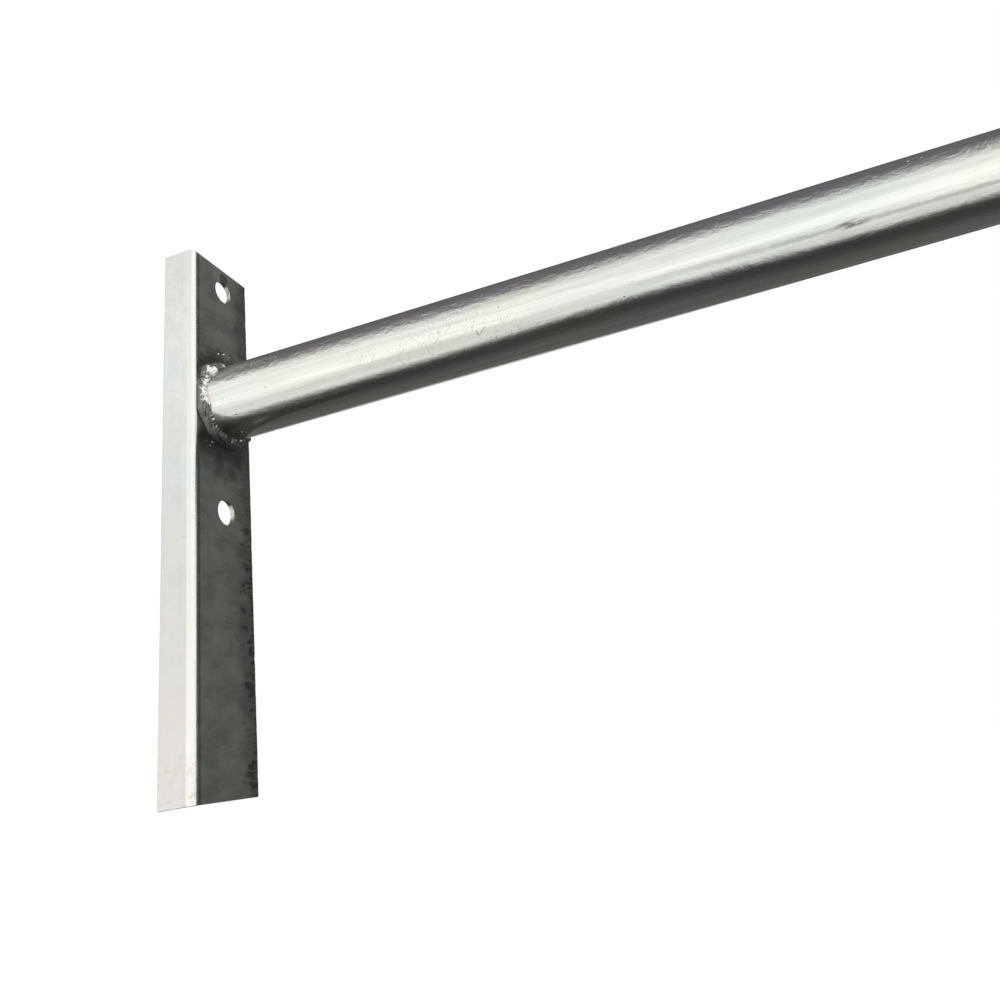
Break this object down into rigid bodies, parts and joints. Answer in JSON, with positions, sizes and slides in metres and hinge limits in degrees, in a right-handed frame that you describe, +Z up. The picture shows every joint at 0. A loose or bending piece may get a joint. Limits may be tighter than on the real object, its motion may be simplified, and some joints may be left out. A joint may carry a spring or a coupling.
{
  "type": "pull up bar",
  "caption": "Straight steel grip tube welded between folded angle brackets that lap and screw to the corners of two posts.",
  "frame": {"origin": "middle of the grip tube's axis", "axes": "+X along the tube from the left bracket to the right one, +Y from front to back, +Z up"},
  "size_m": [1.026, 0.0401, 0.235],
  "materials": {
    "zinc_tube": "drawn steel tube, zinc plated, satin with long streaks",
    "zinc_sheet": "folded sheet steel, zinc plated, mottled satin",
    "zinc_weld": "weld bead, zinc plated, rough"
  },
  "bodies": {
    "root": {"grip_tube": "zinc_tube", "left_angle_bracket": "zinc_sheet", "right_angle_bracket": "zinc_sheet", "left_weld_bead": "zinc_weld", "right_weld_bead": "zinc_weld"}
  },
  "joints": []
}
